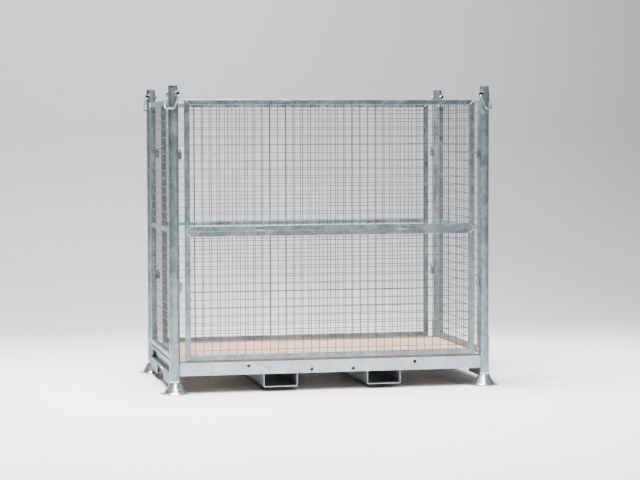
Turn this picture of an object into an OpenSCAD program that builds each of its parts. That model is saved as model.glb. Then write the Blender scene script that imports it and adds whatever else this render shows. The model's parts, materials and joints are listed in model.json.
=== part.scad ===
// Stackable post pallet with a plywood floor, four hung mesh walls and crane rings.
// The front wall is split at mid height and its upper half folds down on two hinges.
// Millimetres, +Z up, origin on the ground at the middle of the footprint, front wall towards -Y.

/* [Overall] */
// Distance between the post axes along the front
post_span_x = 1900; // [1300:10:2400]
// Distance between the post axes from front to back
post_span_y = 1075; // [800:5:1500]
// Height of the post tops above the ground
post_top = 1820; // [1500:5:2200]

/* [Posts and sockets] */
// Outer diameter of a post tube
post_d = 57; // [48:1:76]
// Wall of a post tube
post_wall = 3; // [2:0.5:5]
// Gap all round between a post and its socket
post_play = 0.3; // [0.1:0.1:1]
// Wall of a socket tube
socket_wall = 3.2; // [2.5:0.1:5]
// Height of the socket's upper rim above the ground
socket_top = 303; // [260:1:400]
// Height of the underside of the stop plate inside a socket
stop_z = 78; // [76:1:95]
// Thickness of the stop plate
stop_t = 6; // [4:1:10]
// Length of the post's top end, which enters the bell foot of a pallet above
spigot_len = 30; // [20:1:32]
// How much smaller than the post's the radius of its top end is
spigot_cut = 0.4; // [0.3:0.1:1]

/* [Bell feet] */
// Diameter of the bell foot's rim
foot_rim_d = 180; // [160:1:220]
// Height of the bell foot, where its cone meets the socket
foot_h = 67; // [60:1:74]
// Thickness of the bell's wall
foot_wall = 3.2; // [2.5:0.1:5]
// Radius of the round between the cone and the flat rim
foot_round = 18; // [12:1:24]
// Width of the flat part of the rim
foot_flat = 10; // [5:1:14]
// Gap all round between a post and the neck of the bell foot stacked on it
neck_play = 0.8; // [0.7:0.1:2]

/* [Crane rings] */
// Depth of the cross tube's axis below the post top
crane_drop = 50; // [40:1:70]
// Outer diameter of the cross tube
crane_tube_d = 33.7; // [30:0.1:42.4]
// Wall of the cross tube
crane_tube_wall = 3.2; // [2:0.1:4]
// How far each end of the cross tube stands out of the post
crane_tube_out = 9.5; // [6:0.5:15]
// Diameter of the ring's rod
ring_d = 11; // [8:1:14]
// Gap between the cross tube's end and the ring's side
ring_gap = 3; // [2.5:0.5:5]
// Length of the ring from its pivot to its lower bar
ring_len = 84; // [70:1:110]
// How far each side of the ring leans in on its way down
ring_taper = 9; // [5:1:12]
// Bend radius of the ring's two upper corners
ring_bend = 8; // [7:1:10]
// Bend radius of the ring's two lower corners
ring_corner = 18; // [14:1:24]
// How much thinner than its straight stretches a bent rod is in its bends
bend_thinning = 0.04; // [0.02:0.01:0.2]
// Gap between the resting ring and its post
ring_rest_gap = 0.4; // [0.3:0.1:1]

/* [Base] */
// Height of the upper side of the base beams
base_top = 182; // [150:1:230]
// Height of the beams' section
beam_h = 75; // [60:1:76]
// Depth of the beams' section
beam_w = 40; // [30:1:44]
// Wall of the front and rear beams, which are hollow
beam_t = 4; // [3:0.5:6]
// Thickness of the side beams, which are channels
side_beam_t = 5; // [3:0.5:8]
// Radius of the vent notches at the corners of the front and rear beams' ends
notch_r = 6; // [4:1:10]
// Gap that a weld fills between two members
weld_gap = 0.2; // [0.1:0.1:1]
// Diameter of the round holes in the front and rear beams
beam_hole_d = 20; // [12:1:25]
// Distance of the upper holes from the middle
upper_hole_x = 510; // [450:10:700]
// Depth of the upper holes below the beam's top
upper_hole_drop = 25; // [18:1:30]
// Distance of the lower holes from the middle
lower_hole_x = 127; // [80:1:180]
// Height of the lower holes above the beam's underside
lower_hole_rise = 20; // [16:1:28]
// Thickness of the plywood floor
floor_t = 9; // [6:1:21]
// Gap between the floor's notch and the socket
floor_notch_gap = 4; // [1:1:10]
// Number of bearers under the floor
bearer_count = 5; // [3:1:7]
// Distance from one bearer to the next
bearer_pitch = 317; // [200:1:330]
// Width of a bearer's tube
bearer_w = 60; // [40:5:80]
// Height of a bearer's tube
bearer_h = 40; // [30:5:60]
// Wall of a bearer's tube
bearer_wall = 3; // [2:0.5:5]
// Shank diameter of the floor screws
screw_d = 6; // [5:1:8]
// Head diameter of the floor screws
screw_head_d = 13; // [11:1:18]
// Diameter of the flat on top of a screw's head
screw_flat_d = 8; // [5:1:10]
// Height of a screw's head
screw_head_h = 3; // [2:0.5:5]
// How far a screw reaches below the bearer's upper wall
screw_reach = 8; // [5:1:12]
// Distance between the floor screws along a bearer
screw_pitch = 440; // [300:10:450]
// Length of a gusset along the side beam
gusset_len = 400; // [200:10:450]
// Length of a gusset's sloping end
gusset_slope = 20; // [10:10:150]
// Depth of a gusset below the side beam
gusset_drop = 68; // [42:1:76]
// Thickness of a gusset
gusset_t = 6; // [4:1:10]

/* [Fork channels] */
// Outer width of a fork channel
fork_w = 205; // [160:1:240]
// Height of a fork channel
fork_h = 80; // [60:1:90]
// Plate thickness of a fork channel
fork_t = 4; // [3:0.5:6]
// Distance of each fork channel's middle from the middle of the base
fork_x = 317; // [200:1:450]

/* [Walls] */
// Distance from a post's axis to the wall's side
wall_gap = 66; // [56:1:90]
// Gap between the floor and the hung walls
wall_rise = 4; // [1:1:10]
// Height of the walls' upper edge
wall_top = 1737; // [1400:1:2100]
// Height of the middle rails and of the front wall's split
wall_split = 960; // [700:5:1200]
// Gap between the two halves of the front wall
split_gap = 1.5; // [1:0.5:4]
// Side of the walls' square tubes
bar_w = 30; // [25:1:40]
// Wall of the walls' square tubes
bar_wall = 2; // [1.5:0.5:4]
// Side of the rear and side walls' middle rail
rail_w = 25; // [20:1:40]
// Mesh spacing
mesh_pitch = 50; // [25:5:100]
// Diameter of the mesh wires
wire_d = 4; // [3:0.5:6]
// Gap between crossing wires, which the spot weld fills
wire_gap = 0.1; // [0.1:0.1:0.5]

/* [Hooks and sleeves] */
// Diameter of a hook's rod
hook_d = 10; // [8:1:12]
// Bend radius of a hook
hook_bend = 10; // [8:1:14]
// Height of the upper hooks' arms
upper_hook_z = 1446; // [1200:1:1700]
// Height of the lower hooks' arms
lower_hook_z = 666; // [450:1:850]
// Length of a hook's peg below its arm
hook_drop = 55; // [40:1:70]
// Outer diameter of a sleeve
sleeve_d = 20; // [18:1:24]
// Gap all round between a hook's peg and its sleeve
sleeve_play = 1.2; // [0.5:0.1:2]
// Length of a sleeve
sleeve_len = 43; // [30:1:60]
// Depth of a sleeve's upper rim below the hook's arm
sleeve_drop = 16; // [14:1:25]

/* [Hinges] */
// Distance of the hinges from the wall's middle
hinge_x = 432; // [300:1:600]
// Width of a hinge
hinge_w = 48; // [36:1:80]
// Height of one hinge leaf
leaf_h = 27; // [20:1:29]
// Thickness of a hinge leaf
leaf_t = 4; // [3:0.5:6]
// Diameter of the hinge barrel
barrel_d = 14; // [12:1:20]
// Diameter of the hinge pin
pin_d = 7; // [5:1:8]
// Running gap all round the pin in the turning knuckle
pin_play = 0.08; // [0.05:0.01:0.1]
// Gap all round the pin in the two fixed knuckles
pin_fit = 0.02; // [0.01:0.01:0.04]
// How far a hinge pin stands out of each end of its barrel
pin_out = 2; // [1:0.5:5]
// Gap between the hinge barrel and the bars behind it
barrel_gap = 0.5; // [0.3:0.1:2]
// Gap between neighbouring knuckles
knuckle_gap = 0.5; // [0.3:0.1:1]

/* [Hidden] */
$fn = 64;

// Corners as [x side, y side]
FL = [-1, -1];
FR = [1, -1];
RL = [-1, 1];
RR = [1, 1];
CORNERS = [FL, FR, RL, RR];

post_r = post_d / 2;
socket_ir = post_r + post_play;
socket_r = socket_ir + socket_wall;
neck_ir = post_r + neck_play;
post_bottom = stop_z + stop_t;
beam_bottom = base_top - beam_h;
floor_top = base_top + floor_t;
wall_bottom = floor_top + wall_rise;
crane_z = post_top - crane_drop;
crane_ir = crane_tube_d / 2 - crane_tube_wall;
crane_half = post_r + crane_tube_out;
ring_half = crane_half + ring_gap + ring_d / 2;
ring_pivot_z = crane_z - crane_ir + ring_d / 2 + ring_rest_gap;
ring_lean = asin((post_r + ring_d / 2 + ring_rest_gap) / ring_len);
gate_w = post_span_x - 2 * wall_gap;
side_w = post_span_y - 2 * wall_gap;
hinge_z = wall_split;
hinge_y = -(bar_w / 2 + barrel_d / 2 + barrel_gap);
inner_knuckle = hinge_w / 6;
lower_gate_top = wall_split - split_gap / 2;
upper_gate_bottom = wall_split + split_gap / 2;
sleeve_ir = hook_d / 2 + sleeve_play;
sleeve_x = post_r + sleeve_d / 2 + weld_gap;

// The middle of the bell's round, and the cone's angle from the vertical that joins it to the neck
bell_round = [foot_rim_d / 2 - foot_flat, foot_wall + foot_round];
bell_reach = bell_round - [socket_r, foot_h];
bell_slant = atan2(bell_reach[0], -bell_reach[1]) - asin(foot_round / norm(bell_reach));
bell_steps = 12;

// How far a straight stretch of bent rod laps over the bends at its ends
bend_lap = 0.1;
// How far a cut reaches past the face it opens
past = 1;

galvanised = [0.62, 0.67, 0.70];
bright = [0.80, 0.84, 0.86];

// ---- helpers ----

// Places its children at a corner, with X pointing outward along the diagonal
module at_corner(c) {
    translate([c[0] * post_span_x / 2, c[1] * post_span_y / 2, 0])
        rotate([0, 0, atan2(c[1], c[0])])
            children();
}

module to_front() {
    translate([0, -post_span_y / 2, 0])
        children();
}

module to_rear() {
    translate([0, post_span_y / 2, 0])
        rotate([0, 0, 180])
            children();
}

module to_side(side) {
    translate([side * post_span_x / 2, 0, 0])
        rotate([0, 0, side * 90])
            children();
}

module tube(r, wall, h) {
    difference() {
        cylinder(r = r, h = h);
        translate([0, 0, -1])
            cylinder(r = r - wall, h = h + 2);
    }
}

function unit(v) = v / norm(v);
function turn(u, v) = 180 - acos(u * v);
function setback(u, v, r) = r / tan((180 - turn(u, v)) / 2);

// One bend of a round rod at corner c between points p and q, in the XY plane
module elbow(p, c, q, d, r) {
    u = unit(p - c);
    v = unit(q - c);
    middle = c + unit(u + v) * r / sin((180 - turn(u, v)) / 2);
    left = u[0] * v[1] - u[1] * v[0] < 0;
    first = c + (left ? u : v) * setback(u, v, r) - middle;
    translate([middle[0], middle[1], 0])
        rotate([0, 0, atan2(first[1], first[0])])
            rotate_extrude(angle = turn(u, v))
                translate([r, 0])
                    circle(d = d - bend_thinning);
}

// A straight stretch of rod between two points in the XY plane, cut back at each bent end
module stretch(a, b, d, cut_a, cut_b) {
    v = unit(b - a);
    start = a + v * cut_a;
    translate([start[0], start[1], 0])
        rotate([0, 0, atan2(v[1], v[0])])
            rotate([0, 90, 0])
                cylinder(d = d, h = norm(b - a) - cut_a - cut_b);
}

// A rod bent along points in the XY plane; bends holds each point's radius, 0 at a free end
module bent_rod(points, bends, d, closed = false) {
    n = len(points);
    function at(i) = points[(i + n) % n];
    // each straight stretch reaches a little way over the bends at its ends
    function cut(i) = bends[(i + n) % n] == 0 ? 0
        : setback(unit(at(i - 1) - at(i)), unit(at(i + 1) - at(i)), bends[(i + n) % n]) - bend_lap;
    for (i = [0 : closed ? n - 1 : n - 2])
        stretch(at(i), at(i + 1), d, cut(i), cut(i + 1));
    for (i = [0 : n - 1])
        if (bends[i] > 0)
            elbow(at(i - 1), at(i), at(i + 1), d, bends[i]);
}

// ---- base ----

// Everything inside the two sockets that a beam of this span runs between
module socket_copes(span) {
    for (s = [-1, 1])
        translate([s * span / 2, 0, beam_bottom - past])
            cylinder(r = socket_r + weld_gap, h = beam_h + 2 * past);
}

// A hollow beam along X with its outside towards -Y: round holes and vent notches in its web
module hollow_beam(span) {
    difference() {
        translate([-span / 2, -beam_w / 2, beam_bottom])
            cube([span, beam_w, beam_h]);
        translate([-span / 2 - past, -beam_w / 2 + beam_t, beam_bottom + beam_t])
            cube([span + 2 * past, beam_w - 2 * beam_t, beam_h - 2 * beam_t]);
        socket_copes(span);
        for (s = [-1, 1]) {
            translate([s * upper_hole_x, 0, base_top - upper_hole_drop])
                web_hole(beam_hole_d / 2);
            translate([s * lower_hole_x, 0, beam_bottom + lower_hole_rise])
                web_hole(beam_hole_d / 2);
            for (z = [beam_bottom, base_top])
                translate([s * (span / 2 - socket_r), 0, z])
                    web_hole(notch_r);
        }
    }
}

// A round cut through the web on the -Y side alone
module web_hole(r) {
    rotate([90, 0, 0])
        cylinder(r = r, h = beam_w);
}

// A channel along X between two sockets, open towards -Y
module channel_beam(span) {
    difference() {
        translate([-span / 2, -beam_w / 2, beam_bottom])
            cube([span, beam_w, beam_h]);
        translate([-span / 2 - past, -beam_w / 2 - side_beam_t, beam_bottom + side_beam_t])
            cube([span + 2 * past, beam_w, beam_h - 2 * side_beam_t]);
        socket_copes(span);
    }
}

module front_beam() {
    color(bright)
        to_front()
            hollow_beam(post_span_x);
}

module rear_beam() {
    color(bright)
        to_rear()
            hollow_beam(post_span_x);
}

module left_beam() {
    color(galvanised)
        to_side(-1)
            channel_beam(post_span_y);
}

module right_beam() {
    color(galvanised)
        to_side(1)
            channel_beam(post_span_y);
}

// Places its children along the bearers' middle lines
module each_bearer() {
    for (i = [0 : bearer_count - 1])
        translate([(i - (bearer_count - 1) / 2) * bearer_pitch, 0, 0])
            children();
}

module each_screw() {
    each_bearer()
        for (i = [-1 : 1])
            translate([0, i * screw_pitch, 0])
                children();
}

module floor_bearers() {
    length = post_span_y - beam_w - 2 * weld_gap;
    inner_w = bearer_w - 2 * bearer_wall;
    inner_h = bearer_h - 2 * bearer_wall;
    color(galvanised)
        difference() {
            each_bearer()
                translate([-bearer_w / 2, -length / 2, base_top - bearer_h])
                    cube([bearer_w, length, bearer_h]);
            each_bearer()
                translate([-inner_w / 2, -length / 2 - 1, base_top - bearer_h + bearer_wall])
                    cube([inner_w, length + 2, inner_h]);
            each_screw()
                translate([0, 0, base_top - bearer_wall - 1])
                    cylinder(d = screw_d + 2 * weld_gap, h = bearer_wall + 2);
        }
}

module floor_board() {
    length = post_span_x + beam_w;
    depth = post_span_y + beam_w;
    color([0.85, 0.76, 0.66])
        difference() {
            translate([-length / 2, -depth / 2, base_top])
                cube([length, depth, floor_t]);
            for (c = CORNERS)
                at_corner(c)
                    translate([0, 0, base_top - 1])
                        cylinder(r = socket_r + floor_notch_gap, h = floor_t + 2);
            each_screw()
                translate([0, 0, base_top - 1])
                    cylinder(d = screw_d + 2 * weld_gap, h = floor_t + 2);
        }
}

module floor_screws() {
    shank = floor_t + bearer_wall + screw_reach;
    color(bright)
        each_screw() {
            translate([0, 0, floor_top])
                cylinder(d1 = screw_head_d, d2 = screw_flat_d, h = screw_head_h);
            translate([0, 0, floor_top - shank])
                cylinder(d = screw_d, h = shank);
        }
}

module fork_channel(side) {
    length = post_span_y + beam_w;
    color(bright)
        translate([side * fork_x - fork_w / 2, -length / 2, beam_bottom - fork_h])
            difference() {
                cube([fork_w, length, fork_h]);
                translate([fork_t, -1, fork_t])
                    cube([fork_w - 2 * fork_t, length + 2, fork_h]);
            }
}

module fork_channel_left() {
    fork_channel(-1);
}

module fork_channel_right() {
    fork_channel(1);
}

// One plate under the outer edge of each side beam's end, cut to the bell foot's cone
module corner_gussets() {
    gusset_x = post_span_x / 2 + beam_w / 2 - gusset_t / 2;
    near = socket_r + weld_gap;
    neck_drop = beam_bottom - foot_h;
    cone_out = (gusset_drop - neck_drop) * tan(bell_slant) + weld_gap / cos(bell_slant);
    color(galvanised)
        for (c = CORNERS)
            translate([c[0] * gusset_x - gusset_t / 2, c[1] * post_span_y / 2, beam_bottom])
                rotate([90, 0, 90])
                    linear_extrude(gusset_t)
                        polygon([
                            [-c[1] * near, 0],
                            [-c[1] * near, -neck_drop],
                            [-c[1] * (near + cone_out), -gusset_drop],
                            [-c[1] * (gusset_len - gusset_slope), -gusset_drop],
                            [-c[1] * gusset_len, 0],
                        ]);
}

// ---- corners ----

// A turn of the bell's round, from the cone to the flat rim
function bell_turn(r, i) =
    let (a = bell_slant + i * (90 - bell_slant) / bell_steps)
    bell_round - r * [cos(a), sin(a)];

// The bell's wall as a profile: straight rim, round, cone and neck, outside then inside
module bell_profile() {
    rim_r = foot_rim_d / 2;
    inner_round = foot_round + foot_wall;
    lip = bell_turn(inner_round, 0);
    throat_z = lip[1] + (lip[0] - neck_ir) / tan(bell_slant);
    polygon(concat(
        [[socket_r, stop_z], [socket_r, foot_h]],
        [for (i = [0 : bell_steps]) bell_turn(foot_round, i)],
        [[rim_r, foot_wall], [rim_r, 0]],
        [for (i = [bell_steps : -1 : 0]) bell_turn(inner_round, i)],
        [[neck_ir, throat_z], [neck_ir, stop_z]]
    ));
}

module foot(c) {
    color([0.88, 0.91, 0.93])
        at_corner(c)
            rotate_extrude()
                bell_profile();
}

module foot_front_left() {
    foot(FL);
}

module foot_front_right() {
    foot(FR);
}

module foot_rear_left() {
    foot(RL);
}

module foot_rear_right() {
    foot(RR);
}

module socket(c) {
    color(bright)
        at_corner(c)
            translate([0, 0, stop_z])
                tube(socket_r, socket_wall, socket_top - stop_z);
}

module socket_front_left() {
    socket(FL);
}

module socket_front_right() {
    socket(FR);
}

module socket_rear_left() {
    socket(RL);
}

module socket_rear_right() {
    socket(RR);
}

module post_stops() {
    color(galvanised)
        for (c = CORNERS)
            at_corner(c)
                translate([0, 0, stop_z])
                    cylinder(r = socket_ir - weld_gap, h = stop_t);
}

module post(c) {
    color(galvanised)
        at_corner(c)
            difference() {
                union() {
                    translate([0, 0, post_bottom])
                        cylinder(r = post_r, h = post_top - spigot_len - post_bottom);
                    translate([0, 0, post_bottom])
                        cylinder(r = post_r - spigot_cut, h = post_top - post_bottom);
                }
                translate([0, 0, post_bottom - past])
                    cylinder(r = post_r - post_wall, h = post_top - post_bottom + 2 * past);
                translate([0, 0, crane_z])
                    rotate([90, 0, 0])
                        cylinder(d = crane_tube_d + 2 * weld_gap, h = post_d + past, center = true);
            }
}

module post_front_left() {
    post(FL);
}

module post_front_right() {
    post(FR);
}

module post_rear_left() {
    post(RL);
}

module post_rear_right() {
    post(RR);
}

module crane_tubes() {
    color(galvanised)
        for (c = CORNERS)
            at_corner(c)
                translate([0, crane_half, crane_z])
                    rotate([90, 0, 0])
                        tube(crane_tube_d / 2, crane_tube_wall, 2 * crane_half);
}

// A closed ring: its upper bar lies in the cross tube, its lower bar rests against the post
module ring(c) {
    foot_half = ring_half - ring_taper;
    color([0.75, 0.79, 0.82])
        at_corner(c)
            translate([0, 0, ring_pivot_z])
                rotate([0, -ring_lean, 0])
                    rotate([90, 0, 90])
                        bent_rod(
                            [
                                [-ring_half, 0],
                                [ring_half, 0],
                                [foot_half, -ring_len],
                                [-foot_half, -ring_len],
                            ],
                            [ring_bend, ring_bend, ring_corner, ring_corner],
                            ring_d, closed = true
                        );
}

module ring_front_left() {
    ring(FL);
}

module ring_front_right() {
    ring(FR);
}

module ring_rear_left() {
    ring(RL);
}

module ring_rear_right() {
    ring(RR);
}

// ---- walls, drawn in the XZ plane with the outside towards -Y ----

// A square tube along X with mitred ends; its outer long side is on z = 0
module mitred_bar(length) {
    half = length / 2 - weld_gap;
    difference() {
        translate([0, bar_w / 2, 0])
            rotate([90, 0, 0])
                linear_extrude(bar_w)
                    polygon([[-half, 0], [half, 0], [half - bar_w, bar_w], [bar_w - half, bar_w]]);
        translate([-length, -bar_w / 2 + bar_wall, bar_wall])
            cube([2 * length, bar_w - 2 * bar_wall, bar_w - 2 * bar_wall]);
    }
}

module mitred_frame(width, low, high) {
    mid = (low + high) / 2;
    translate([0, 0, low])
        mitred_bar(width);
    translate([0, 0, high])
        rotate([0, 180, 0])
            mitred_bar(width);
    for (s = [-1, 1])
        translate([s * width / 2, 0, mid])
            rotate([0, -s * 90, 0])
                mitred_bar(high - low);
}

module middle_rail(width) {
    length = width - 2 * bar_w - 2 * weld_gap;
    translate([-length / 2, 0, wall_split])
        rotate([0, 90, 0])
            difference() {
                translate([-rail_w / 2, -rail_w / 2, 0])
                    cube([rail_w, rail_w, length]);
                translate([bar_wall - rail_w / 2, bar_wall - rail_w / 2, -1])
                    cube([rail_w - 2 * bar_wall, rail_w - 2 * bar_wall, length + 2]);
            }
}

// Wires that fill an opening, upright ones at the back and level ones in front
module wire_field(width, low, high) {
    shift = wire_d / 2 + wire_gap / 2;
    columns = floor(width / mesh_pitch);
    rows = floor((high - low) / mesh_pitch);
    for (i = [0 : columns - 1])
        translate([(i - (columns - 1) / 2) * mesh_pitch, shift, low])
            cylinder(d = wire_d, h = high - low);
    for (i = [0 : rows - 1])
        translate([-width / 2, -shift, (low + high) / 2 + (i - (rows - 1) / 2) * mesh_pitch])
            rotate([0, 90, 0])
                cylinder(d = wire_d, h = width);
}

// A pair of hooks at one height: an arm out of each upright, bent down into a peg
module hook_pair(width, z) {
    reach = wall_gap - sleeve_x;
    for (s = [-1, 1])
        translate([s * width / 2, 0, z])
            rotate([90, 0, 0])
                bent_rod(
                    [[0, 0], [s * reach, 0], [s * reach, -hook_drop]],
                    [0, hook_bend, 0],
                    hook_d
                );
}

// The two sleeves that take a pair of hooks; an open one has a slot towards the outside
module sleeve_pair(span, z, open = false) {
    for (s = [-1, 1])
        translate([s * (span / 2 - sleeve_x), 0, z - sleeve_drop - sleeve_len])
            difference() {
                tube(sleeve_d / 2, sleeve_d / 2 - sleeve_ir, sleeve_len);
                if (open)
                    translate([-sleeve_ir, -sleeve_d, -1])
                        cube([2 * sleeve_ir, sleeve_d, sleeve_len + 2]);
            }
}

module full_frame(width) {
    color(galvanised) {
        mitred_frame(width, wall_bottom, wall_top);
        middle_rail(width);
    }
}

module full_mesh(width) {
    color(galvanised) {
        wire_field(width - 2 * bar_w, wall_bottom + bar_w, wall_split - rail_w / 2);
        wire_field(width - 2 * bar_w, wall_split + rail_w / 2, wall_top - bar_w);
    }
}

module full_hooks(width) {
    color(bright) {
        hook_pair(width, lower_hook_z);
        hook_pair(width, upper_hook_z);
    }
}

module full_sleeves(span) {
    color(bright) {
        sleeve_pair(span, lower_hook_z);
        sleeve_pair(span, upper_hook_z);
    }
}

module rear_wall_frame() {
    to_rear() full_frame(gate_w);
}

module rear_wall_mesh() {
    to_rear() full_mesh(gate_w);
}

module rear_wall_hooks() {
    to_rear() full_hooks(gate_w);
}

module rear_sleeves() {
    to_rear() full_sleeves(post_span_x);
}

module left_wall_frame() {
    to_side(-1) full_frame(side_w);
}

module left_wall_mesh() {
    to_side(-1) full_mesh(side_w);
}

module left_wall_hooks() {
    to_side(-1) full_hooks(side_w);
}

module left_sleeves() {
    to_side(-1) full_sleeves(post_span_y);
}

module right_wall_frame() {
    to_side(1) full_frame(side_w);
}

module right_wall_mesh() {
    to_side(1) full_mesh(side_w);
}

module right_wall_hooks() {
    to_side(1) full_hooks(side_w);
}

module right_sleeves() {
    to_side(1) full_sleeves(post_span_y);
}

// ---- front wall ----

module front_lower_sleeves() {
    color(bright) to_front() sleeve_pair(post_span_x, lower_hook_z);
}

module front_upper_sleeves() {
    color(bright) to_front() sleeve_pair(post_span_x, upper_hook_z, open = true);
}

// One leaf pair: a plate beside the barrel and its knuckles, pointing up for side 1
module leaf(side, knuckles, bore_r) {
    plate_y = -bar_w / 2 - leaf_t - hinge_y;
    clear_z = barrel_d / 2 + knuckle_gap;
    for (s = [-1, 1])
        translate([s * hinge_x, hinge_y, hinge_z])
            mirror([0, 0, side < 0 ? 1 : 0])
                difference() {
                    union() {
                        translate([-hinge_w / 2, plate_y, clear_z])
                            cube([hinge_w, leaf_t, leaf_h - clear_z]);
                        for (k = knuckles)
                            translate([k[0], 0, 0]) {
                                rotate([0, 90, 0])
                                    cylinder(d = barrel_d, h = k[1] - k[0]);
                                translate([0, plate_y - 1, 1])
                                    cube([k[1] - k[0], leaf_t, clear_z]);
                            }
                    }
                    translate([-hinge_w, 0, 0])
                        rotate([0, 90, 0])
                            cylinder(r = bore_r, h = 2 * hinge_w);
                }
}

module lower_gate_frame() {
    color(galvanised) to_front() mitred_frame(gate_w, wall_bottom, lower_gate_top);
}

module lower_gate_mesh() {
    color(galvanised)
        to_front() wire_field(gate_w - 2 * bar_w, wall_bottom + bar_w, lower_gate_top - bar_w);
}

module lower_gate_hooks() {
    color(bright) to_front() hook_pair(gate_w, lower_hook_z);
}

module lower_gate_hinges() {
    outer = inner_knuckle + knuckle_gap;
    color(bright)
        to_front()
            leaf(-1, [[-hinge_w / 2, -outer], [outer, hinge_w / 2]], pin_d / 2 + pin_fit);
}

module hinge_pins() {
    color([0.55, 0.57, 0.60])
        to_front()
            for (s = [-1, 1])
                translate([s * hinge_x - hinge_w / 2 - pin_out, hinge_y, hinge_z])
                    rotate([0, 90, 0])
                        cylinder(d = pin_d, h = hinge_w + 2 * pin_out);
}

module upper_gate_frame() {
    color(galvanised) to_front() mitred_frame(gate_w, upper_gate_bottom, wall_top);
}

module upper_gate_mesh() {
    color(galvanised)
        to_front() wire_field(gate_w - 2 * bar_w, upper_gate_bottom + bar_w, wall_top - bar_w);
}

module upper_gate_hooks() {
    color(bright) to_front() hook_pair(gate_w, upper_hook_z);
}

module upper_gate_hinges() {
    color(bright)
        to_front() leaf(1, [[-inner_knuckle, inner_knuckle]], pin_d / 2 + pin_play);
}

// ---- one line per node ----

front_beam();
rear_beam();
left_beam();
right_beam();
floor_bearers();
floor_board();
floor_screws();
fork_channel_left();
fork_channel_right();
corner_gussets();
foot_front_left();
foot_front_right();
foot_rear_left();
foot_rear_right();
socket_front_left();
socket_front_right();
socket_rear_left();
socket_rear_right();
post_stops();
post_front_left();
post_front_right();
post_rear_left();
post_rear_right();
crane_tubes();
front_lower_sleeves();
front_upper_sleeves();
rear_sleeves();
left_sleeves();
right_sleeves();
ring_front_left();
ring_front_right();
ring_rear_left();
ring_rear_right();
lower_gate_frame();
lower_gate_mesh();
lower_gate_hooks();
lower_gate_hinges();
hinge_pins();
upper_gate_frame();
upper_gate_mesh();
upper_gate_hooks();
upper_gate_hinges();
rear_wall_frame();
rear_wall_mesh();
rear_wall_hooks();
left_wall_frame();
left_wall_mesh();
left_wall_hooks();
right_wall_frame();
right_wall_mesh();
right_wall_hooks();
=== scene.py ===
import json
import math

import bmesh
import bpy
from mathutils import Matrix, Vector


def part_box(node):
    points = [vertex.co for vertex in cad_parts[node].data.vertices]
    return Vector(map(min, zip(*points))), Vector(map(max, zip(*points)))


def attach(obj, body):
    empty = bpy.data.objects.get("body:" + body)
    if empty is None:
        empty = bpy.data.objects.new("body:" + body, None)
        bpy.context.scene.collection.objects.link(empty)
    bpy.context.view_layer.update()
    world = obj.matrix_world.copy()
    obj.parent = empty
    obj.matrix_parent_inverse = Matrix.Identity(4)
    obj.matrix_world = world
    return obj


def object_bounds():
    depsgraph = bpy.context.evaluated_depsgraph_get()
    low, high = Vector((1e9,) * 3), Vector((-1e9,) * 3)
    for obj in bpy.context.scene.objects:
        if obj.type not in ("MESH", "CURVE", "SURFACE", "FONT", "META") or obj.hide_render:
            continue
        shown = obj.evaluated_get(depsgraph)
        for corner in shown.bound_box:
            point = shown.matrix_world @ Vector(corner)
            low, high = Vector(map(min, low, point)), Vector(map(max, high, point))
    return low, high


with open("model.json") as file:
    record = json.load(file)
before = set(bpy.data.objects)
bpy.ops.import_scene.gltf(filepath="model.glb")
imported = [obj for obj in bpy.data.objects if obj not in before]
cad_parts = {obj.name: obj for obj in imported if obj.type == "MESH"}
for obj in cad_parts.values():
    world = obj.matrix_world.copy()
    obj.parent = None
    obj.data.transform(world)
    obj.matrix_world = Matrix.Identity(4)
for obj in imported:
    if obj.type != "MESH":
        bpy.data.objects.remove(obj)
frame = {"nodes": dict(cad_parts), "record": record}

CAD_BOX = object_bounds()
MM = 0.001
SAME_POINT = 0.002 * MM


# ---- node material helpers ----

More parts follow.
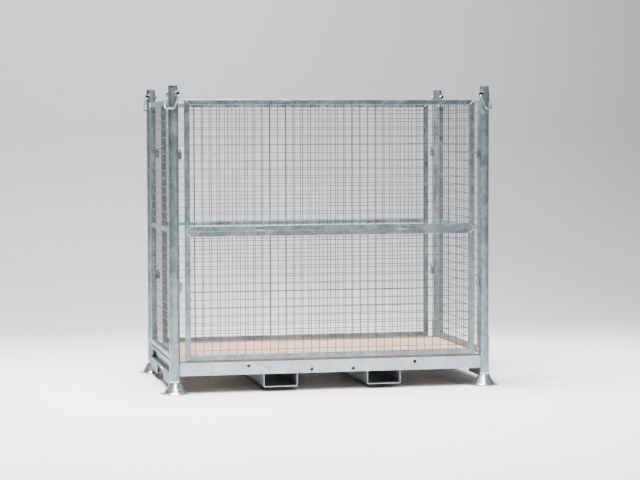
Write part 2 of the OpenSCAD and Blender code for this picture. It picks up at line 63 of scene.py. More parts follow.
class Shader:
    """A small builder for one node material."""

    def __init__(self, name):
        self.material = bpy.data.materials.new(name)
        self.material.use_nodes = True
        self.tree = self.material.node_tree
        self.nodes = self.tree.nodes
        self.surface = self.nodes["Principled BSDF"]
        self.place = self.nodes.new("ShaderNodeTexCoord").outputs["Object"]

    def link(self, source, target):
        self.tree.links.new(source, target)

    def scaled(self, x, y, z):
        node = self.nodes.new("ShaderNodeMapping")
        node.inputs["Scale"].default_value = (x, y, z)
        self.link(self.place, node.inputs["Vector"])
        return node.outputs["Vector"]

    def noise(self, scale, detail=4.0, roughness=0.55, vector=None):
        node = self.nodes.new("ShaderNodeTexNoise")
        node.inputs["Scale"].default_value = scale
        node.inputs["Detail"].default_value = detail
        node.inputs["Roughness"].default_value = roughness
        self.link(vector or self.place, node.inputs["Vector"])
        return node.outputs["Fac"]

    def cells(self, scale, vector=None):
        """Flat cells with a random colour each, as the crystals of a zinc coat."""
        node = self.nodes.new("ShaderNodeTexVoronoi")
        node.feature = "F1"
        node.inputs["Scale"].default_value = scale
        self.link(vector or self.place, node.inputs["Vector"])
        split = self.nodes.new("ShaderNodeSeparateColor")
        self.link(node.outputs["Color"], split.inputs["Color"])
        return split.outputs["Red"]

    def ramp(self, source, stops):
        node = self.nodes.new("ShaderNodeValToRGB")
        while len(node.color_ramp.elements) < len(stops):
            node.color_ramp.elements.new(0.5)
        for element, (at, colour) in zip(node.color_ramp.elements, stops):
            element.position = at
            element.color = (*colour, 1.0)
        self.link(source, node.inputs["Fac"])
        return node.outputs["Color"]

    def grade(self, source, low, high):
        """A number from 0 to 1 stretched to run from low to high."""
        node = self.nodes.new("ShaderNodeMapRange")
        node.inputs["To Min"].default_value = low
        node.inputs["To Max"].default_value = high
        self.link(source, node.inputs["Value"])
        return node.outputs["Result"]

    def mix(self, factor, one, other, blend="MIX"):
        node = self.nodes.new("ShaderNodeMix")
        node.data_type = "RGBA"
        node.blend_type = blend
        for value, socket in ((factor, 0), (one, 6), (other, 7)):
            if hasattr(value, "is_linked"):
                self.link(value, node.inputs[socket])
            else:
                node.inputs[socket].default_value = value
        return node.outputs[2]

    def bump(self, height, distance, strength=1.0, under=None):
        node = self.nodes.new("ShaderNodeBump")
        node.inputs["Distance"].default_value = distance
        node.inputs["Strength"].default_value = strength
        self.link(height, node.inputs["Height"])
        if under:
            self.link(under, node.inputs["Normal"])
        return node.outputs["Normal"]


def zinc(name, dark, mid, light, spangle=26.0, rough=(0.28, 0.50), metallic=0.85, stain=0.35):
    """Hot-dip galvanised steel: crystals, cloudy patches, a few white runs and a fine grain."""
    s = Shader(name)
    patches = s.noise(7.0, 5.0, 0.6)
    warped = s.nodes.new("ShaderNodeVectorMath")
    warped.operation = "ADD"
    s.link(s.place, warped.inputs[0])
    wobble = s.noise(30.0, 2.0)
    s.link(s.grade(wobble, -0.02, 0.02), warped.inputs[1])
    crystals = s.cells(spangle, warped.outputs["Vector"])
    fine = s.cells(spangle * 3.2, warped.outputs["Vector"])
    cloudy = s.ramp(patches, [(0.30, dark), (0.52, mid), (0.74, light)])
    flecks = s.ramp(crystals, [(0.0, dark), (0.5, mid), (1.0, light)])
    small = s.ramp(fine, [(0.0, dark), (1.0, light)])
    colour = s.mix(0.34, cloudy, flecks)
    colour = s.mix(0.20, colour, small)
    runs = s.noise(5.0, 6.0, 0.7, s.scaled(6.0, 6.0, 0.8))
    streaks = s.ramp(runs, [(0.56, (0.0, 0.0, 0.0)), (0.72, (1.0, 1.0, 1.0))])
    white_rust = s.mix(stain, (0.0, 0.0, 0.0, 1.0), streaks)
    colour = s.mix(white_rust, colour, (*[min(1.0, 1.12 * c) for c in light], 1.0))
    s.link(colour, s.surface.inputs["Base Color"])
    s.surface.inputs["Metallic"].default_value = metallic
    s.link(s.grade(s.mix(0.5, crystals, patches), *rough), s.surface.inputs["Roughness"])
    grain = s.bump(s.noise(420.0, 3.0), 0.00012, 0.5)
    lumps = s.bump(s.noise(38.0, 3.0), 0.0006, 0.5, grain)
    s.link(lumps, s.surface.inputs["Normal"])
    return s.material


# painted shade: where the plywood starts and finishes darkening towards its two ends along X
SIDE_SHADE_STARTS = 45.0 * MM
SIDE_SHADE_FULL = 10.0 * MM
PLIES = 9.0


def plywood(name):
    """Birch plywood: grain and patches, plies on the edges, and painted shade darkening it towards
    its two ends along X.
    """
    s = Shader(name)
    grain = s.noise(9.0, 8.0, 0.65, s.scaled(1.0, 14.0, 1.0))
    rings = s.nodes.new("ShaderNodeTexWave")
    rings.wave_type = "BANDS"
    rings.bands_direction = "Y"
    rings.inputs["Scale"].default_value = 3.4
    rings.inputs["Distortion"].default_value = 9.0
    rings.inputs["Detail"].default_value = 3.0
    rings.inputs["Detail Scale"].default_value = 1.2
    s.link(s.scaled(0.35, 2.2, 1.0), rings.inputs["Vector"])
    face = s.ramp(grain, [
        (0.30, (0.25, 0.145, 0.085)),
        (0.50, (0.40, 0.265, 0.17)),
        (0.70, (0.56, 0.42, 0.31)),
    ])
    figure = s.ramp(rings.outputs["Fac"], [(0.0, (0.34, 0.215, 0.135)), (1.0, (0.48, 0.335, 0.23))])
    face = s.mix(0.4, face, figure)
    split = s.nodes.new("ShaderNodeSeparateXYZ")
    s.link(s.place, split.inputs["Vector"])
    low, high = (corner[2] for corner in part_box("floor_board"))
    height = s.nodes.new("ShaderNodeMapRange")
    height.inputs["From Min"].default_value = low
    height.inputs["From Max"].default_value = high
    s.link(split.outputs["Z"], height.inputs["Value"])
    plies = s.nodes.new("ShaderNodeMath")
    plies.operation = "PINGPONG"
    plies.inputs[1].default_value = 1.0
    stretched = s.grade(height.outputs["Result"], 0.0, PLIES)
    s.link(stretched, plies.inputs[0])
    edge = s.ramp(plies.outputs["Value"], [
        (0.35, (0.070, 0.042, 0.040)),
        (0.65, (0.130, 0.082, 0.072)),
    ])
    geometry = s.nodes.new("ShaderNodeNewGeometry")
    normal = s.nodes.new("ShaderNodeSeparateXYZ")
    s.link(geometry.outputs["True Normal"], normal.inputs["Vector"])
    upright = s.nodes.new("ShaderNodeMath")
    upright.operation = "ABSOLUTE"
    s.link(normal.outputs["Z"], upright.inputs[0])
    colour = s.mix(upright.outputs["Value"], edge, face)
    aside = s.nodes.new("ShaderNodeMath")
    aside.operation = "ABSOLUTE"
    s.link(split.outputs["X"], aside.inputs[0])
    # painted shade: the board darkens to a dark brown from 45 mm in from each end along X, fully
    # over the last 10 mm
    side_shade = s.nodes.new("ShaderNodeMapRange")
    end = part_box("floor_board")[1][0]
    side_shade.inputs["From Min"].default_value = end - SIDE_SHADE_STARTS
    side_shade.inputs["From Max"].default_value = end - SIDE_SHADE_FULL
    s.link(aside.outputs["Value"], side_shade.inputs["Value"])
    colour = s.mix(side_shade.outputs["Result"], colour, (0.15, 0.10, 0.085, 1.0))
    scuffs = s.noise(3.0, 6.0, 0.7)
    marks = s.ramp(scuffs, [(0.35, (0.80, 0.80, 0.80)), (0.6, (1.0, 1.0, 1.0))])
    colour = s.mix(0.5, colour, marks, "MULTIPLY")
    s.link(colour, s.surface.inputs["Base Color"])
    s.link(s.grade(grain, 0.50, 0.72), s.surface.inputs["Roughness"])
    s.link(s.bump(grain, 0.0004, 0.6), s.surface.inputs["Normal"])
    return s.material


MATERIALS = {
    "base_steel": zinc("base zinc", (0.27, 0.35, 0.37), (0.39, 0.47, 0.49), (0.58, 0.65, 0.67),
                       spangle=30.0, metallic=0.72, rough=(0.32, 0.54)),
    "bell_feet": zinc("foot zinc", (0.44, 0.50, 0.53), (0.61, 0.67, 0.70), (0.84, 0.89, 0.91),
                      spangle=34.0, metallic=0.92, rough=(0.22, 0.35), stain=0.15),
    "post_tubes": zinc("post zinc", (0.12, 0.165, 0.185), (0.22, 0.285, 0.31), (0.40, 0.47, 0.50),
                       spangle=30.0, metallic=0.85, rough=(0.28, 0.50)),
    "wall_frames": zinc("frame zinc", (0.10, 0.14, 0.155), (0.19, 0.25, 0.27), (0.36, 0.43, 0.455),
                        spangle=34.0, metallic=0.85, rough=(0.30, 0.52)),
    "mesh_wire": zinc("wire zinc", (0.055, 0.054, 0.053), (0.10, 0.10, 0.10), (0.19, 0.195, 0.197),
                      spangle=60.0, metallic=0.65, rough=(0.30, 0.50), stain=0.1),
    "small_fittings": zinc("fitting zinc", (0.17, 0.215, 0.235), (0.29, 0.345, 0.37),
                           (0.46, 0.52, 0.545), spangle=50.0, metallic=0.85, rough=(0.26, 0.46)),
    "rings": zinc("ring zinc", (0.26, 0.31, 0.335), (0.38, 0.43, 0.455), (0.54, 0.59, 0.61),
                  spangle=55.0, metallic=0.88, rough=(0.30, 0.48)),
    "zinc_fasteners": zinc("fastener zinc", (0.40, 0.41, 0.40), (0.55, 0.56, 0.54),
                           (0.70, 0.71, 0.69), spangle=80.0, metallic=0.90, rough=(0.25, 0.40),
                           stain=0.05),
    "plywood": plywood("birch plywood"),
}
# the sockets' own darker zinc; on the side beams the same zinc is painted shade
SOCKET_AND_SIDE_SHADE_ZINC = zinc("socket and side shade zinc", (0.12, 0.175, 0.20), (0.22, 0.29, 0.32), (0.42, 0.49, 0.52),
                   spangle=34.0, metallic=0.80, rough=(0.28, 0.48))
WELD_ZINC = zinc("weld zinc", (0.07, 0.085, 0.09), (0.16, 0.19, 0.20), (0.34, 0.38, 0.40),
                 spangle=220.0, metallic=0.70, rough=(0.38, 0.60), stain=0.2)
# painted shade: a dark copy of the base zinc for the fork channels and corner gussets, which stand
# in the shade under the base
SHADE_ZINC = zinc("painted shade zinc", (0.10, 0.11, 0.108), (0.17, 0.185, 0.18), (0.28, 0.30, 0.295),
                  spangle=30.0, metallic=0.60, rough=(0.45, 0.65), stain=0.1)
# nodes whose names hold one of these words take a darker zinc: their own tone on the sockets and
# hinges, painted shade on the side beams, fork channels and corner gussets
TONE_AND_SHADE_ZINCS = {
    "socket_": SOCKET_AND_SIDE_SHADE_ZINC,
    # painted shade: the side beams take the darker socket zinc in place of the base zinc of the
    # front and rear beams
    "left_beam": SOCKET_AND_SIDE_SHADE_ZINC,
    "right_beam": SOCKET_AND_SIDE_SHADE_ZINC,
    # painted shade: the fork channels and corner gussets take the dark copy of the base zinc
    "fork_channel": SHADE_ZINC,
    "corner_gussets": SHADE_ZINC,
    "gate_hinges": WELD_ZINC,
}


def dress_frame():
    """Gives every CAD node the material of its record slot, or a darker zinc: its own tone on
    sockets and hinges, painted shade on the side beams, fork channels and corner gussets.
    """
    slots = {entry["node"]: entry["material_slot"] for entry in frame["record"]["subparts"]}
    for node, obj in frame["nodes"].items():
        material = MATERIALS[slots[node]]
        for key, darker_zinc in TONE_AND_SHADE_ZINCS.items():
            if key in node:
                material = darker_zinc
        if not obj.material_slots:
            obj.data.materials.append(material)
        for slot in obj.material_slots:
            slot.material = material


# ---- small detail: welds, rims, drips ----

BEAD_SIDES = 8  # flat sides round a bead
BEAD_STEP = 2.0 * MM
BEAD_TAPER = 0.45  # share of the thickness left at an open end
STEEP = 0.8  # above this share of Z a path counts as upright
CONE_TO_NECK_TOP = 11.0 * MM
SOCKET_WALL = 3.2 * MM
CRANE_TUBE_R = 33.7 * MM / 2.0
POST_WALL_MIDDLE = 1.9 * MM
DETAILS = []


def resampled(path, step, closed):
    """Points at even steps along a path."""
    points = [Vector(p) for p in path]
    if closed:
        points.append(points[0])
    lengths = [(b - a).length for a, b in zip(points, points[1:])]
    count = max(2, round(sum(lengths) / step))
    out = []
    index, passed = 0, 0.0
    for i in range(count if closed else count + 1):
        at = sum(lengths) * i / count
        while index < len(lengths) - 1 and at > passed + lengths[index]:
            passed += lengths[index]
            index += 1
        share = (at - passed) / lengths[index] if lengths[index] else 0.0
        out.append(points[index].lerp(points[index + 1], min(1.0, share)))
    return out


class Detail:
    """Small details that ride on one body, gathered into one piece."""

    def __init__(self, name, body, slot, material=WELD_ZINC):
        self.name, self.body, self.slot, self.material = name, body, slot, material
        self.mesh = bmesh.new()
        self.count = 0
        DETAILS.append(self)

    def bead(self, path, radius, closed=False, ripple=0.16):
        """A weld bead along a path: a rod whose thickness ripples and whose open ends taper."""
        self.count += 1
        points = resampled(path, max(1.1 * radius, BEAD_STEP), closed)
        rings = []
        for i, point in enumerate(points):
            after = points[(i + 1) % len(points)] if closed or i + 1 < len(points) else point
            before = points[i - 1] if closed or i else point
            along = (after - before).normalized()
            across = Vector((0, 0, 1)) if abs(along.z) < STEEP else Vector((1, 0, 0))
            side = along.cross(across).normalized()
            up = side.cross(along)
            wave = 1.0 + ripple * (math.sin(2.3 * i + self.count) + 0.4 * math.sin(5.1 * i))
            end = BEAD_TAPER if not closed and i in (0, len(points) - 1) else 1.0
            reach = radius * wave * end
            rings.append([
                self.mesh.verts.new(point + reach * (math.cos(t) * side + math.sin(t) * up))
                for t in turns(BEAD_SIDES)
            ])
        pairs = list(zip(rings, rings[1:])) + ([(rings[-1], rings[0])] if closed else [])
        for one, other in pairs:
            for k in range(BEAD_SIDES):
                m = (k + 1) % BEAD_SIDES
                self.mesh.faces.new((one[k], one[m], other[m], other[k]))
        if not closed:
            self.mesh.faces.new(rings[0][::-1])
            self.mesh.faces.new(rings[-1])

    def spot(self, centre, size, level=1):
        """A spot weld, drip or nub: a lump with its own size along each axis."""
        bmesh.ops.create_icosphere(
            self.mesh, subdivisions=level, radius=1.0,
            matrix=Matrix.Translation(centre) @ Matrix.Diagonal((*size, 1.0)),
        )

    def finish(self):
        bmesh.ops.recalc_face_normals(self.mesh, faces=self.mesh.faces)
        data = bpy.data.meshes.new(self.name)
        self.mesh.to_mesh(data)
        self.mesh.free()
        for polygon in data.polygons:
            polygon.use_smooth = True
        data.materials.append(self.material)
        piece = bpy.data.objects.new(self.name, data)
        bpy.context.collection.objects.link(piece)
        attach(piece, self.body)


def corners_of(node):
    low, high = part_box(node)
    return Vector(low), Vector(high)


def middle_of(node):
    low, high = corners_of(node)
    return (low + high) / 2.0


def long_side(low, high):
    """0 where a box is longest along X, 1 where it is longest along Y."""
    return 0 if high.x - low.x > high.y - low.y else 1


def turns(steps):
    return [2.0 * math.pi * i / steps for i in range(steps)]


def circle(centre, radius, z, steps=48):
    return [
        Vector((centre.x + radius * math.cos(t), centre.y + radius * math.sin(t), z))
        for t in turns(steps)
    ]


def corner_welds(welds, corner, side_x, side_y):
    """Beads where two beams meet a socket, and round its lower end, its stop and its upper rim."""
    socket = middle_of("socket_" + corner)
    low, high = corners_of("socket_" + corner)
    socket_r = (high.x - low.x) / 2.0
    beam_low, beam_high = corners_of("front_beam")
    half_beam = (beam_high.y - beam_low.y) / 2.0
    reach = math.sqrt(socket_r ** 2 - half_beam ** 2)
    for face in (-half_beam, half_beam):
        for x, y in ((-side_x * reach, face), (face, -side_y * reach)):
            welds.bead([(socket.x + x, socket.y + y, beam_low.z + 2 * MM),
                        (socket.x + x, socket.y + y, beam_high.z - 2 * MM)], 3.0 * MM)
    for z in (beam_low.z, beam_high.z):
        welds.bead([(socket.x - side_x * reach, socket.y - half_beam, z),
                    (socket.x - side_x * socket_r, socket.y, z),
                    (socket.x - side_x * reach, socket.y + half_beam, z)], 2.2 * MM)
    cone_top = corners_of("foot_" + corner)[1].z - CONE_TO_NECK_TOP
    welds.bead(circle(socket, socket_r, cone_top), 2.2 * MM, closed=True)
    rim = SOCKET_WALL / 2
    welds.bead(circle(socket, socket_r - rim, high.z), rim + 0.3 * MM, closed=True, ripple=0.04)
    stop_z = corners_of("post_stops")[0].z - 0.5 * MM
    inside_r = socket_r - SOCKET_WALL - 1.5 * MM
    welds.bead(circle(socket, inside_r, stop_z), 1.4 * MM, closed=True)


def post_details(welds, corner, side_x, side_y):
    """The cross tube's weld round the post and the post's rounded rim."""
    post = middle_of("post_" + corner)
    low, high = corners_of("post_" + corner)
    post_r = (high.x - low.x) / 2.0
    tube_z = corners_of("crane_tubes")[1].z - CRANE_TUBE_R
    out = Vector((side_x, side_y, 0.0)).normalized()
    along = Vector((-out.y, out.x, 0.0))
    for s in (-1.0, 1.0):
        path = []
        for t in turns(36):
            across = CRANE_TUBE_R * math.cos(t)
            reach = math.sqrt(post_r ** 2 - across ** 2)
            path.append(Vector((post.x, post.y, tube_z + CRANE_TUBE_R * math.sin(t)))
                        + across * out + s * reach * along)
        welds.bead(path, 2.2 * MM, closed=True)
    rim = 1.3 * MM
    top = circle(post, post_r - POST_WALL_MIDDLE, high.z - rim * 1.1)
    welds.bead(top, rim, closed=True, ripple=0.03)


def islands(node):
    """The box of each separate solid in a CAD node."""
    mesh = bmesh.new()
    mesh.from_mesh(frame["nodes"][node].data)
    bmesh.ops.remove_doubles(mesh, verts=mesh.verts, dist=SAME_POINT)
    seen, out = set(), []
    for start in mesh.verts:
        if start in seen:
            continue
        stack, low, high = [start], start.co.copy(), start.co.copy()
        seen.add(start)
        while stack:
            vert = stack.pop()
            for axis in range(3):
                low[axis] = min(low[axis], vert.co[axis])
                high[axis] = max(high[axis], vert.co[axis])
            for edge in vert.link_edges:
                other = edge.other_vert(vert)
                if other not in seen:
                    seen.add(other)
                    stack.append(other)
        out.append((low, high))
    mesh.free()
    return out


def mesh_welds(welds, node):
    """Spot welds where wires cross and small lumps where they meet the bars."""
    uprights, levels = [], []
    for low, high in islands(node):
        size = high - low
        (uprights if size.z > max(size.x, size.y) else levels).append((low, high))
    if not uprights or not levels:
        return
    run = long_side(*levels[0])
    wire = min(levels[0][1] - levels[0][0])
    for low, high in uprights:
        centre = (low + high) / 2.0
        for end in (low.z + 0.5 * MM, high.z - 0.5 * MM):
            welds.spot((centre.x, centre.y, end), (0.8 * wire, 0.8 * wire, 0.7 * wire))
        for other_low, other_high in levels:
            other = (other_low + other_high) / 2.0
            if not (low.z < other.z < high.z):
                continue
            if not (other_low[run] < centre[run] < other_high[run]):
                continue
            place = Vector((centre.x, centre.y, other.z))
            place[1 - run] = (centre[1 - run] + other[1 - run]) / 2.0
            welds.spot(place, (0.62 * wire, 0.62 * wire, 0.62 * wire))
    for low, high in levels:
        centre = (low + high) / 2.0
        for end in (low[run] + 0.5 * MM, high[run] - 0.5 * MM):
            place = centre.copy()
            place[run] = end
            size = [0.8 * wire] * 3
            size[run] = 0.7 * wire
            welds.spot(place, size)


def frame_welds(welds, node):
    """Ground mitre seams on both faces of a wall's four corners."""
    low, high = corners_of(node)
    run = long_side(low, high)
    bar = high[1 - run] - low[1 - run]
    for across in (low[1 - run], high[1 - run]):
        for end, into in ((low[run], 1.0), (high[run], -1.0)):
            for z, inward in ((low.z, 1.0), (high.z, -1.0)):
                path = []
                for share in (0.06, 0.94):
                    point = Vector((0.0, 0.0, z + inward * share * bar))
                    point[run] = end + into * share * bar
                    point[1 - run] = across
                    path.append(point)
                welds.bead(path, 1.7 * MM, ripple=0.10)


def rod_welds(welds, node, frame_node):
    """A fillet round each hook's rod where it leaves the wall's upright."""
    low, high = corners_of(frame_node)
    run = long_side(low, high)
    for rod_low, rod_high in islands(node):
        top = rod_high.z
        radius = (rod_high[1 - run] - rod_low[1 - run]) / 2.0
        centre = (rod_low + rod_high) / 2.0
        on_low = abs(rod_low[run] - low[run]) > abs(rod_high[run] - low[run])
        edge = low[run] if on_low else high[run]
        path = []
        for t in turns(20):
            point = Vector((centre.x, centre.y, top - radius + radius * math.sin(t)))
            point[1 - run] = centre[1 - run] + radius * math.cos(t)
            point[run] = edge
            path.append(point)
        welds.bead(path, 1.8 * MM, closed=True)


def sleeve_welds(welds, node):
    """A bead down each side of a sleeve, on the post it is welded to."""
    for low, high in islands(node):
        centre = (low + high) / 2.0
        post = middle_of("post_front_left")
        corner = Vector((math.copysign(post.x, centre.x),
                         math.copysign(post.y, centre.y), centre.z))
        away = (centre - corner).normalized()
        side = Vector((-away.y, away.x, 0.0))
        radius = (high.x - low.x) / 2.0
        for s in (-1.0, 1.0):
            foot = centre - 0.86 * radius * away + s * 0.45 * radius * side
            welds.bead([(foot.x, foot.y, low.z + 1 * MM),
                        (foot.x, foot.y, high.z - 1 * MM)], 2.0 * MM)


DRIPS = 23
GOLDEN, GOLDEN_REST = 0.618, 0.381  # spread the drips evenly but without a visible order


def base_welds(welds):
    """Beads under the beams: fork channels, gussets and bearers; and drips of zinc."""
    beam_low, beam_high = corners_of("front_beam")
    depth = beam_high.y - beam_low.y
    far = corners_of("rear_beam")[1].y
    for node in ("fork_channel_left", "fork_channel_right"):
        low, high = corners_of(node)
        for x in (low.x, high.x):
            for near, end in ((low.y, low.y + depth), (high.y - depth, high.y)):
                welds.bead([(x, near + 2 * MM, high.z), (x, end - 2 * MM, high.z)], 2.6 * MM)
    for low, high in islands("corner_gussets"):
        for x in (low.x, high.x):
            for share in (0.12, 0.38, 0.64, 0.88):
                y = low.y + share * (high.y - low.y)
                welds.bead([(x, y - 16 * MM, high.z), (x, y + 16 * MM, high.z)], 2.4 * MM)
    for low, high in islands("floor_bearers"):
        for x in (low.x, high.x):
            for y in (low.y, high.y):
                welds.bead([(x, y, low.z + 2 * MM), (x, y, high.z - 4 * MM)], 2.2 * MM)
        for y in (low.y, high.y):
            welds.bead([(low.x, y, low.z), (high.x, y, low.z)], 2.2 * MM)
    span = beam_high.x - 60 * MM
    for i in range(DRIPS):
        x = -span + 2.0 * span * ((i * GOLDEN) % 1.0)
        length = (2.0 + 2.5 * ((i * GOLDEN_REST) % 1.0)) * MM
        y = beam_low.y + 1.5 * MM if i % 2 else far - 1.5 * MM
        welds.spot((x, y, beam_low.z - 0.3 * length), (1.3 * MM, 1.3 * MM, length), level=2)


# place along the beam and distance in from its top or bottom edge, both in mm
BEAM_HOLES = (
    (-510.0, 25.0, "top"),
    (510.0, 25.0, "top"),
    (-127.0, 20.0, "bottom"),
    (127.0, 20.0, "bottom"),
)
HOLE_RIM_R = 11.0 * MM


def beam_edges(edges, node, outside):
    """The rolled outer edges of a beam, and the rims of zinc round the holes in its web."""
    low, high = corners_of(node)
    run = long_side(low, high)
    face = high[1 - run] if outside > 0 else low[1 - run]
    set_in, radius = 0.7 * MM, 1.3 * MM
    for z in (low.z + set_in, high.z - set_in):
        path = []
        for along in (low[run] + 2 * MM, high[run] - 2 * MM):
            point = Vector((0.0, 0.0, z))
            point[run] = along
            point[1 - run] = face - outside * set_in
            path.append(point)
        edges.bead(path, radius, ripple=0.0)
    if run == 1:
        return
    for x, off, side in BEAM_HOLES:
        z = high.z - off * MM if side == "top" else low.z + off * MM
        rim = [Vector((x * MM + HOLE_RIM_R * math.cos(t), face, z + HOLE_RIM_R * math.sin(t)))
               for t in turns(32)]
        edges.bead(rim, 1.0 * MM, closed=True, ripple=0.0)


def channel_rims(edges):
    """Bright rims at both mouths of the fork channels, in the lighter base zinc, so that they stand
    out against the painted shade on the channels.
    """
    inset = 2.0 * MM
    for node in ("fork_channel_left", "fork_channel_right"):
        low, high = corners_of(node)
        for y in (low.y, high.y):
            edges.bead([(low.x + inset, y, high.z - inset), (low.x + inset, y, low.z + inset),
                        (high.x - inset, y, low.z + inset), (high.x - inset, y, high.z - inset)],
                       inset, ripple=0.0)


LEAF_WIDTH_FROM = 20 * MM
LEAF_HEIGHT_FROM = 8 * MM
PIN_TO_WELD = 8.0 * MM


def hinge_welds(welds, node, side):
    """Beads along the three free edges of each hinge leaf."""
    stop = middle_of("hinge_pins").z + PIN_TO_WELD * side
    y = corners_of("lower_gate_frame")[0].y
    for low, high in islands(node):
        if high.x - low.x < LEAF_WIDTH_FROM or high.z - low.z < LEAF_HEIGHT_FROM:
            continue
        outer = low.z if side < 0 else high.z
        for x in (low.x, high.x):
            welds.bead([(x, y, outer), (x, y, stop)], 1.6 * MM)
        welds.bead([(low.x, y, outer), (high.x, y, outer)], 1.6 * MM)


CORNERS = {
    "front_left": (-1, -1),
    "front_right": (1, -1),
    "rear_left": (-1, 1),
    "rear_right": (1, 1),
}
# which way each beam's outer face looks
BEAMS = {"front_beam": -1, "rear_beam": 1, "left_beam": -1, "right_beam": 1}
SLEEVES = (
    "front_lower_sleeves", "front_upper_sleeves", "rear_sleeves", "left_sleeves", "right_sleeves",
)
WALLS = {
    "lower_gate": "front_lower_gate",
    "upper_gate": "front_upper_gate",
    "rear_wall": "rear_wall",
    "left_wall": "left_wall",
    "right_wall": "right_wall",
}


def add_details():
    frame_beads = Detail("base_welds", "base", "base_steel")
    base_welds(frame_beads)
    rolled = Detail("beam_edges", "base", "base_steel", MATERIALS["base_steel"])
    for node, outside in BEAMS.items():
        beam_edges(rolled, node, outside)
    channel_rims(rolled)
    socket_beads = Detail("socket_welds", "base", "base_steel")
    tube_beads = Detail("post_welds", "base", "small_fittings")
    for corner, (side_x, side_y) in CORNERS.items():
        corner_welds(socket_beads, corner, side_x, side_y)
        post_details(tube_beads, corner, side_x, side_y)
    for node in SLEEVES:
        sleeve_welds(tube_beads, node)
    for wall, body in WALLS.items():
        seams = Detail(wall + "_seams", body, "wall_frames", MATERIALS["base_steel"])
        frame_welds(seams, wall + "_frame")
        beads = Detail(wall + "_welds", body, "wall_frames")
        rod_welds(beads, wall + "_hooks", wall + "_frame")
        spots = Detail(wall + "_mesh_welds", body, "mesh_wire", MATERIALS["mesh_wire"])
        mesh_welds(spots, wall + "_mesh")
        if wall == "lower_gate":
            hinge_welds(beads, "lower_gate_hinges", -1)
        if wall == "upper_gate":
            hinge_welds(beads, "upper_gate_hinges", 1)
    for detail in DETAILS:
        detail.finish()


# how far the edges are rounded, in mm, on nodes whose names hold one of these words
ROUNDED = {
    "_frame": 4.2, "fork_channel": 1.8, "floor_bearers": 3.0,
    "corner_gussets": 1.2, "floor_board": 0.8, "hinges": 0.8,
}


def round_edges():
    """Rolled and sawn edges are a little round, so that they catch the light."""
    for node, obj in frame["nodes"].items():
        for key, width in ROUNDED.items():
            if key not in node:
                continue
            join = obj.modifiers.new("join", "WELD")
            join.merge_threshold = SAME_POINT
            bevel = obj.modifiers.new("round", "BEVEL")
            bevel.width = width * MM
            bevel.segments = 3
            bevel.limit_method = "ANGLE"
            bevel.angle_limit = math.radians(50.0)


# ---- stage ----

def build_stage():
    """A pale floor that curves up into a backdrop, painted darker towards the back as painted shade
    so that it is grey at the wall, and clear from behind.
    """
    floor_z = CAD_BOX[0][2]
    front, middle, bend_y, bend_r, wall_z = -4.6, 1.5, 3.2, 1.6, 9.0
    narrow, wide = (-3.4, 4.9), (-8.0, 9.5)
    painted_shade_from = 0.6
    steps = 24
    profile = [(front, 0.0), (middle, 0.0), (bend_y, 0.0)]
    for i in range(1, steps + 1):
        turn = math.radians(90.0 * i / steps)
        profile.append((bend_y + bend_r * math.sin(turn), bend_r * (1.0 - math.cos(turn))))
    profile.append((bend_y + bend_r, wall_z))
    verts = [(x, y, floor_z + z) for y, z in profile for x in (wide if y >= bend_y else narrow)]
    faces = [(2 * i, 2 * i + 1, 2 * i + 3, 2 * i + 2) for i in range(len(profile) - 1)]
    mesh = bpy.data.meshes.new("backdrop")
    mesh.from_pydata(verts, [], faces)
    for polygon in mesh.polygons:
        polygon.use_smooth = True
    sheet = bpy.data.objects.new("backdrop", mesh)
    bpy.context.collection.objects.link(sheet)
    s = Shader("pale backdrop")
    split = s.nodes.new("ShaderNodeSeparateXYZ")
    s.link(s.place, split.inputs["Vector"])
    depth = s.nodes.new("ShaderNodeMapRange")
    depth.inputs["From Min"].default_value = painted_shade_from
    depth.inputs["From Max"].default_value = bend_y + bend_r
    s.link(split.outputs["Y"], depth.inputs["Value"])
    # painted shade: the sheet's colour falls from pale to grey as it runs back from y 0.6 m to the
    # top of the bend
    painted_falloff = s.ramp(depth.outputs["Result"], [(0.0, (0.94, 0.94, 0.95)), (1.0, (0.30, 0.315, 0.33))])
    mottle = s.ramp(s.noise(1.4, 3.0), [(0.0, (0.97, 0.97, 0.97)), (1.0, (1.0, 1.0, 1.0))])
    s.link(s.mix(1.0, painted_falloff, mottle, "MULTIPLY"), s.surface.inputs["Base Color"])
    s.surface.inputs["Roughness"].default_value = 0.7
    behind = s.nodes.new("ShaderNodeNewGeometry").outputs["Backfacing"]
    clear = s.nodes.new("ShaderNodeBsdfTransparent")
    one_sided = s.nodes.new("ShaderNodeMixShader")
    s.link(behind, one_sided.inputs[0])
    s.link(s.surface.outputs["BSDF"], one_sided.inputs[1])
    s.link(clear.outputs["BSDF"], one_sided.inputs[2])
    s.link(one_sided.outputs["Shader"], s.nodes["Material Output"].inputs["Surface"])
    sheet.data.materials.append(s.material)


def add_area(name, place, target, size, power, colour=(1.0, 1.0, 1.0)):
    light = bpy.data.lights.new(name, "AREA")
    light.shape = "RECTANGLE"
    light.size, light.size_y = size
    light.energy = power
    light.color = colour
    obj = bpy.data.objects.new(name, light)
    bpy.context.collection.objects.link(obj)
    obj.location = place
    aim = Vector(target) - Vector(place)
    obj.rotation_euler = aim.to_track_quat("-Z", "Y").to_euler()


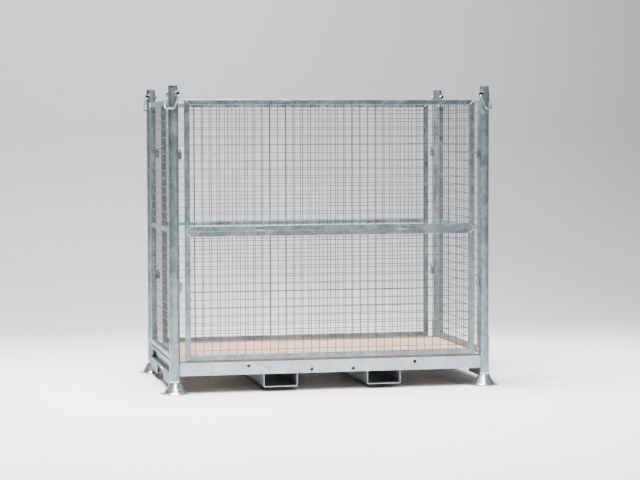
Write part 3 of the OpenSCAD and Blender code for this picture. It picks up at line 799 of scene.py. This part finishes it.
def light_stage():
    world = bpy.data.worlds.new("studio")
    bpy.context.scene.world = world
    world.use_nodes = True
    nodes, links = world.node_tree.nodes, world.node_tree.links
    back = nodes["Background"]
    seen = nodes.new("ShaderNodeBackground")
    seen.inputs["Color"].default_value = (0.50, 0.52, 0.54, 1.0)
    choose = nodes.new("ShaderNodeMixShader")
    links.new(nodes.new("ShaderNodeLightPath").outputs["Is Camera Ray"], choose.inputs[0])
    links.new(back.outputs["Background"], choose.inputs[1])
    links.new(seen.outputs["Background"], choose.inputs[2])
    links.new(choose.outputs["Shader"], nodes["World Output"].inputs["Surface"])
    back.inputs["Color"].default_value = (0.80, 0.84, 0.88, 1.0)
    back.inputs["Strength"].default_value = 0.085
    middle = (0.0, 0.0, 0.9)
    add_area("key", (-0.7, -4.4, 5.6), (-0.2, -0.5, 0.5), (2.4, 1.6), 330.0, (1.0, 0.99, 0.97))
    add_area("fill", (6.5, -4.0, 3.2), middle, (1.6, 3.4), 30.0, (0.94, 0.98, 1.0))
    add_area("top", (-1.1, -0.4, 6.3), (-0.3, -0.3, 0.0), (3.0, 3.0), 2300.0)


# ---- camera ----

def add_camera():
    """Stands where the photographer stood: left of the middle, a little below the posts' tops."""
    data = bpy.data.cameras.new("camera")
    camera = bpy.data.objects.new("camera", data)
    bpy.context.collection.objects.link(camera)
    data.sensor_width = 36.0
    data.lens = 109.7
    data.clip_end = 100.0
    place = Vector((-2.461, -11.943, 1.525))
    yaw, pitch, roll = 0.2066, 0.0536, -0.0031
    forward = Vector((math.sin(yaw) * math.cos(pitch),
                      math.cos(yaw) * math.cos(pitch), -math.sin(pitch)))
    right = Vector((math.cos(yaw), -math.sin(yaw), 0.0))
    up = right.cross(forward)
    turned_right = math.cos(roll) * right + math.sin(roll) * up
    turned_up = -math.sin(roll) * right + math.cos(roll) * up
    axes = Matrix((turned_right, turned_up, -forward)).transposed()
    camera.matrix_world = Matrix.Translation(place) @ axes.to_4x4()
    bpy.context.scene.camera = camera


dress_frame()
round_edges()
add_details()
build_stage()
light_stage()
add_camera()
